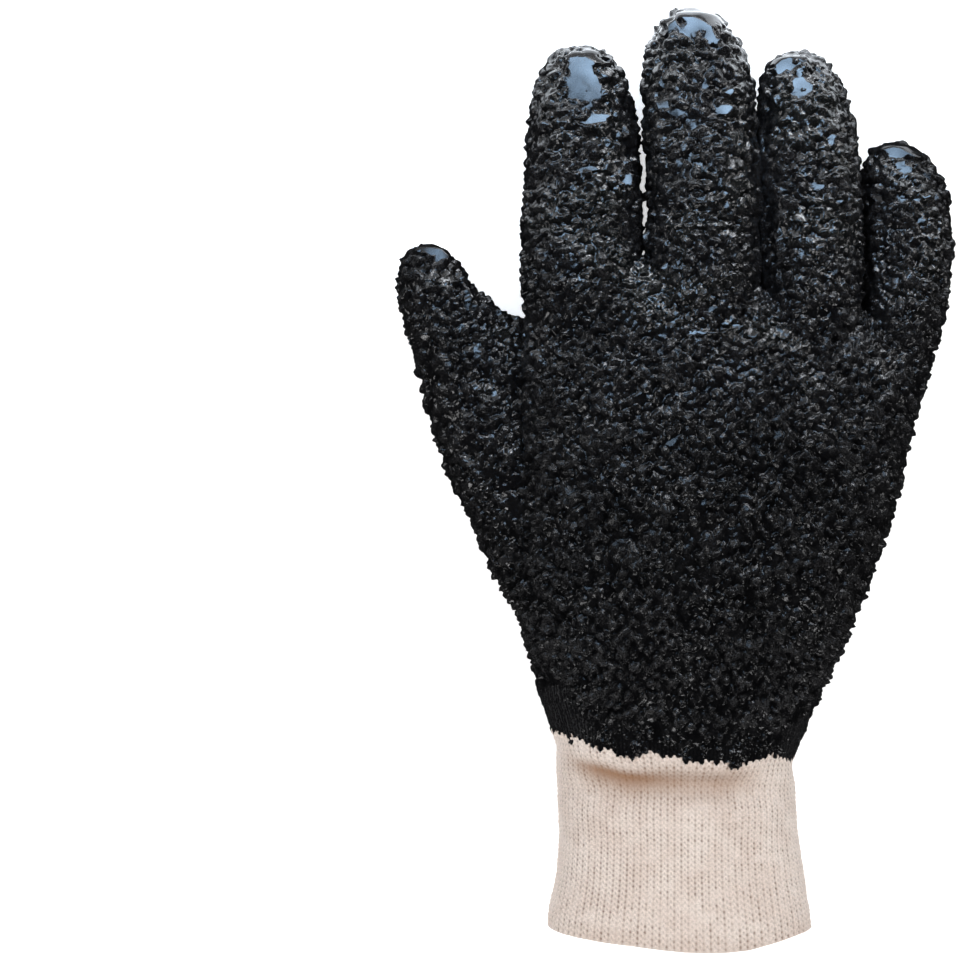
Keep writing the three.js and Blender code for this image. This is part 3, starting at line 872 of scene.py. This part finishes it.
# %% Where the coating ends
DIP_BACK = [(-35.6, -74.8), (-31.3, -74.6), (-28.8, -75.4), (-27.1, -76.8), (-25.1, -77.8),
            (-23.7, -78.6), (-19.3, -78.3), (-17.6, -79.5), (-16.4, -80.8), (-13.1, -81.0),
            (-10.5, -80.6), (-7.7, -79.5), (-5.0, -80.6), (-1.8, -81.5), (3.1, -82.1),
            (5.8, -82.3), (15.7, -83.4), (20.0, -81.8), (24.4, -81.4), (29.0, -80.8), (33.4, -82.6)]
DIP_PALM = [(31.6, -82.5), (20.4, -80.7), (-7.3, -81.5), (-22.7, -85.5), (-32.8, -80.5)]
DIP_HALF = (36, 24)            # half the wrist's width and height at the dip line
TOOTH = 1.1                    # how far the teeth reach, and how much they differ
SPOT = (-30.6, -77.4, 0.9)     # a stray drop of coating: x, y and radius


def turn_of(x, sign):
    """The angle of a point at x on the wrist's back (sign 1) or palm side (-1)."""
    across = min(abs(x - WRIST_AXIS[0]) / DIP_HALF[0], 1)
    upward = DIP_HALF[1] * (1 - across ** SQUARENESS) ** (1 / SQUARENESS)
    return math.atan2(sign * upward, x - WRIST_AXIS[0])


dip_turns = [turn_of(x, 1) for x, _ in DIP_BACK] + [turn_of(x, -1) for x, _ in DIP_PALM]
dip_y = np.interp(turn, dip_turns, [y for _, y in DIP_BACK + DIP_PALM], period=2 * math.pi)
# One tooth for each wale, each of its own length
soaked = rng.uniform(-TOOTH, TOOTH, WALES)[wale] * 0.8 - TOOTH * (1 - abs(2 * wale_phase))
wrist_x, wrist_y = wrist[:, :, 0], wrist[:, :, 1]
dipped = wrist_y > dip_y + soaked
dipped |= np.hypot(wrist_x - SPOT[0], wrist_y - SPOT[1]) < SPOT[2]
print(round(dipped.mean() * 100), "% of the net is dipped")

# %% The fold, the roll above it and their shade
FOLD = [(-34.0, -83.0), (-24.5, -85.3), (-15.5, -87.6), (-0.5, -88.9), (17.3, -88.9), (26.0, -89.0)]
beside = wrist_y - np.interp(wrist_x, *zip(*FOLD))        # how far above the fold's line
fade = eased(wrist_x, -38, -22) * (1 - eased(wrist_x, 12, 26)) * eased(np.sin(turn), 0.15, 0.5)
fold = fade * np.where(beside > 0, np.exp(-(abs(beside) / 2.2) ** 2), np.exp(-(abs(beside) / 3.4) ** 1.5))
# The fold's shade is painted in colour: brown, deepest on the thumb's side, reaching up over the roll in the
# middle.
browner = 0.65 + 0.52 * (1 - eased(wrist_x, -14, 6))
reach_up = 2.2 + 2.6 * eased(wrist_x, -14, 0)             # in the middle the roll lies in shade too
shade = np.where(beside > 0, np.exp(-(beside / reach_up) ** 2), np.exp(-(abs(beside) / 4.2) ** 1.5))
shade *= browner * fade
hem_shade = 0.14 * (1 - eased(climb, 0, 4.5))[:, None]    # the hem turns away from the light
shade = np.maximum(shade, hem_shade)
roll = fade * np.exp(-((beside - 4.2) / 1.7) ** 2)
print("fold over", round((fold > 0.5).mean() * 100, 1), "% of the net")

# %% [markdown]
# ## Stitches
# Each loop is lifted along its two legs, which lean apart like a V. The crest of a wale parts
# slightly between the legs, and the valley between wales sinks to a pinhole where four loops meet.
# Yarn could be bent into real loops, but at this fineness they would be millions of triangles. The
# net's own points are moved, so the stitches are still shape and not just shading.

# %% Relief of the knitting
FOLD_DEPTH, ROLL_HEIGHT = 1.1, 0.4         # in mm, as are the weights below
crest = 1 - abs(2 * wale_phase) ** 3
parting = np.exp(-(wale_phase / 0.1) ** 2)
valley = np.exp(-((0.5 - abs(wale_phase)) / 0.13) ** 2)
row_phase = course_phase + 0.5 * (noise(flat, np.array([3.0, 8.0, 3.0]), 17.1).reshape(net_shape) - 0.5)
leg = np.cos(2 * math.pi * (row_phase + 1.6 * abs(wale_phase))) * crest
gap_row = 0.5 + 0.5 * np.cos(2 * math.pi * row_phase)
open_gap = np.clip(1.8 * noise(flat, 1.9, 26.3).reshape(net_shape) - 0.15, 0.3, 1.2)
pinhole = (valley * (0.22 + 0.75 * gap_row ** 2) + 0.42 * parting * (1 - gap_row) ** 2) * open_gap
uneven = 0.6 + 0.8 * noise(flat, 2.4, 6.6).reshape(net_shape)
stitch = (0.42 * crest + 0.16 * leg - 0.14 * parting - 0.30 * pinhole) * uneven
pucker = 0.7 * (noise(flat, np.array([9.0, 14.0, 9.0]), 3.1).reshape(net_shape) - 0.5)
side = eased(abs(wrist_x - 2), 23, 31)              # the ribs show through the coating at the sides
under_chips = eased(above_chips_end(flat).reshape(net_shape), 1, 9)
coated_rib = (0.55 * crest - 0.22 * parting + 0.07 * leg) * uneven * (0.3 + 0.7 * side) + 0.1
speckle = noise(flat, 0.9, 8.8) + 0.5 * noise(flat, 2.6, 44.4) - 0.25      # fine crumbs on the ribs
coated_rib += (0.9 - 0.6 * side) * eased(speckle, 0.5, 0.85).reshape(net_shape)
# Bare yarn keeps its stitches, and the dipped ribs sink away under the chips.
lift = np.where(dipped, coated_rib - 0.3 - 1.5 * under_chips, stitch + pucker - 0.3)
lift += ROLL_HEIGHT * roll * ~dipped - FOLD_DEPTH * fold
knit = wrist + wrist_out * lift[:, :, None]
print("knit relief", lift.min().round(2), "to", lift.max().round(2))

# %% [markdown]
# ## The hem and the inside
# The cuff is knitted as one long tube and turned in, so its hem is a soft round edge and its
# inside shows the same ribs. The inside needs fewer points, as it is seen only through the opening.

# %% The hem's rounding and the inner layer
CUFF_WALL = 2.4                # two layers of knitting
HEM_STEPS = 7
RESTS_AT = 0.05                # the lowest that knitting comes, just over the floor
INSIDE_LENGTH = 67             # how far up the inner layer goes
inward = -unit(wrist_out * np.array([1.0, 0.0, 1.0]))
hem_rows = []
for step in range(1, HEM_STEPS + 1):
    bend = math.pi * step / HEM_STEPS
    raised = (0.35 * crest + 0.1 * leg[0]) * uneven[0] * math.cos(bend / 2)
    row = wrist[0] + inward[0] * (CUFF_WALL / 2 * (1 - math.cos(bend)) - raised)[:, None]
    row[:, 1] -= (CUFF_WALL / 2 - 0.1) * math.sin(bend)
    hem_rows.append(row)
outside = np.concatenate([hem_rows[::-1], knit])
outside[:, :, 2] = np.maximum(outside[:, :, 2], RESTS_AT)
INNER_ROWS = 4
thinned = slice(0, None, INNER_ROWS)
inside = wrist[thinned] + inward[thinned] * (CUFF_WALL + pucker[thinned] * 0.3 - 0.3 * crest)[:, :, None]
inside = inside[:int(INSIDE_LENGTH / COURSE)]
# Painted shade and highlight for the nodes to read: brown in the pinholes, the fold and the hem, lighter on
# the Vs' legs.
pinhole_shade = np.concatenate([np.tile(0.4 * valley * open_gap[0], (HEM_STEPS, 1)), pinhole])
painted_shade_rows = np.concatenate([np.tile(shade[0], (HEM_STEPS, 1)), shade])
painted_leg_highlight = np.concatenate([np.zeros((HEM_STEPS, len(columns))), leg * uneven])
print("inside of the cuff reaches y", inside[:, :, 1].max().round(1))


# %% Dipped rib, cuff and its inside
def net_faces(shape, flipped=False):
    """Quads of a net that closes on itself along its second axis."""
    index = np.arange(shape[0] * shape[1]).reshape(shape[:2])
    right = np.roll(index, -1, axis=1)
    faces = np.stack([index[:-1], right[:-1], right[1:], index[1:]], axis=-1).reshape(-1, 4)
    return faces[:, ::-1] if flipped else faces


faces = net_faces(outside.shape)
points = outside.reshape(-1, 3)
black = np.concatenate([np.zeros((HEM_STEPS, len(columns)), bool), dipped]).ravel()[faces].all(axis=1)
back = points[faces][:, :, 2].mean(axis=1) > WRIST_AXIS[1]
# The dipped ribs get a painted highlight: crests lighter than their partings, more at the two sides.
rib_painted_highlight = np.clip((0.1 + 0.9 * (crest - parting) * uneven) * (0.5 + 0.8 * side), 0, 1)
rib_painted_highlight = np.concatenate([rib_painted_highlight[:HEM_STEPS], rib_painted_highlight]).ravel()
rib_floats = {"tone_and_painted_shade": rib_painted_highlight, "gloss": np.full(len(points), 0.4)}
add_piece(mesh_from("dipped_rib", points, faces[black], rib_floats), PVC, "chip_coating", "coated_hand")
COTTON = cotton_knit("ecru_cotton_rib", 0.25)
cuff_floats = {"pinhole": pinhole_shade.ravel(), "fold": painted_shade_rows.ravel(), "leg": painted_leg_highlight.ravel()}
for name, side_faces in (("knit_cuff_back", back), ("knit_cuff_palm", ~back)):
    add_piece(mesh_from(name, points, faces[~black & side_faces], cuff_floats), COTTON,
              "rib_knit", "knit_wrist")
add_piece(mesh_from("knit_cuff_inside", inside.reshape(-1, 3), net_faces(inside.shape, True)),
          COTTON, "rib_knit", "knit_wrist")
print(COTTON.name, "has", len(COTTON.node_tree.nodes), "nodes")

# %% [markdown]
# ## Lining
# The cloth hand under the PVC is a cotton jersey. It is seen only through the cuff, so the solids'
# inner faces, fused at a coarse voxel size and smoothed, are enough. The faces are turned to look
# into the hollow, and the net is left open where the cuff's tube passes through it.

# %% Lining
LINING_VOXEL = 2.2
LINING_OPEN_Y = -70.0          # the net is open below this
lining, lining_quads = fused_net(inner, LINING_VOXEL)
lining = smoothed(lining, edges_of(lining_quads, len(lining)), 6)
lining_quads = lining_quads[lining[lining_quads][:, :, 1].max(axis=1) > LINING_OPEN_Y][:, ::-1]
add_piece(mesh_from("jersey_lining", lining, lining_quads), cotton_knit("ecru_cotton_jersey", 0.4),
          "rib_knit", *SKIN_NODES)
print("lining of", len(lining_quads), "quads", seconds())

# %% [markdown]
# ## Floor, light and camera
# The glove lies on a plain white floor. A large white sheet would do, but it goes grey where the
# light falls off, so this one is a light table that glows a little. Black gloss shows only what it
# mirrors: small softboxes beyond the fingertips draw the glints and light the pools, and broad ones
# light the knitting. The camera looks straight down on the glove's back.

# %% Floor
FLOOR_HALF = 6.0
corners = [(x * FLOOR_HALF, y * FLOOR_HALF, 0) for x, y in ((-1, -1), (1, -1), (1, 1), (-1, 1))]
floor_mesh = bpy.data.meshes.new("floor")
floor_mesh.from_pydata(corners, [], [(0, 1, 2, 3)])
floor = linked("floor", floor_mesh)
floor.visible_glossy = False   # the black gloss mirrors the dim room, not the bright table
acrylic, acrylic_tree = new_material("opal_acrylic")         # a light table's sheet, lit from below
shader = add_node(acrylic_tree, "ShaderNodeBsdfPrincipled", {
    "Base Color": linear("#f4f4f4"), "Roughness": 0.8,
    "Emission Color": linear("#ffffff"), "Emission Strength": 0.6})
add_node(acrylic_tree, "ShaderNodeOutputMaterial", {"Surface": shader.outputs["BSDF"]})
floor_mesh.materials.append(acrylic)
print("floor", 2 * FLOOR_HALF, "m wide")

# %% Lights
def softbox(name, place, aim, width, height, power, colour, spread=180):
    """A rectangular light, in metres, watts and degrees, that points at its aim and isn't seen."""
    light = bpy.data.lights.new(name, "AREA")
    light.shape = "RECTANGLE"
    light.size, light.size_y = width, height
    light.energy = power
    light.color = linear(colour)[:3]
    light.spread = math.radians(spread)
    made = linked(name, light)
    made.location = place
    made.rotation_euler = (Vector(aim) - Vector(place)).to_track_quat("-Z", "Y").to_euler()
    made.visible_camera = False
    return made


AIM = (0.0, 0.0, 0.02)
softbox("tip_softbox", TIP_LIGHT, (0, 0.1, 0.03), 0.18, 0.14, 0.054, "#b6d8fb", spread=40)
softbox("horizon_softbox", (0.0, 0.56, 0.23), (0.0, 0.1, 0.02), 0.9, 0.44, 1.05, "#fcfdff")
softbox("strip_softbox", (0.12, 0.50, 0.22), (0.01, 0.09, 0.03), 0.22, 0.08, 0.066, "#f2f7ff", spread=45)
softbox("tip_card", (0.0, 0.30, 0.004), (0.0, 0.30, 1.0), 0.5, 0.34, 2.0, "#f0f7ff")
softbox("left_softbox", (-1.0, 0.3, 0.4), AIM, 0.3, 0.25, 1.2, "#ffffff")
softbox("right_softbox", (1.0, 0.3, 0.4), AIM, 0.3, 0.25, 1.2, "#ffffff")
softbox("wrist_softbox", (0.1, -1.0, 0.5), AIM, 0.5, 0.2, 2.6, "#ffffff")
softbox("top_fill", (0.0, 0.0, 1.6), AIM, 2.6, 2.6, 37.6, "#fffdfc").visible_glossy = False
softbox("cuff_fill", (-1.0, -0.6, 0.5), (-0.02, -0.1, 0.02), 0.6, 0.6, 1.1, "#fffdfc").visible_glossy = False
print(len(bpy.data.lights), "softboxes")

# %% The room
ROOM_LIGHT = 0.015             # the dim room between the softboxes
world = bpy.data.worlds.new("studio")
world.use_nodes = True
world.node_tree.nodes["Background"].inputs["Color"].default_value = linear("#ffffff")
world.node_tree.nodes["Background"].inputs["Strength"].default_value = ROOM_LIGHT
bpy.context.scene.world = world
bpy.context.scene.view_settings.view_transform = "Standard"
print("room", ROOM_LIGHT)

# %% Camera
SEEN_WIDTH = 0.2808            # the photograph's width at the height of the glove's outline
SEEN_AT = 0.02                 # that height
SENSOR = 36.0
camera = bpy.data.cameras.new("camera")
camera.sensor_width = SENSOR
camera.lens = SENSOR * (EYE[2] - SEEN_AT) / SEEN_WIDTH
camera_object = linked("camera", camera)
camera_object.location = EYE
bpy.context.scene.camera = camera_object
print("lens", round(camera.lens, 1), "mm")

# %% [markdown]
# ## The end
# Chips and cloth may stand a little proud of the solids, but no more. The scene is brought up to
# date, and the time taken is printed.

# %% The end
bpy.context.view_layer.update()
print("script", seconds())
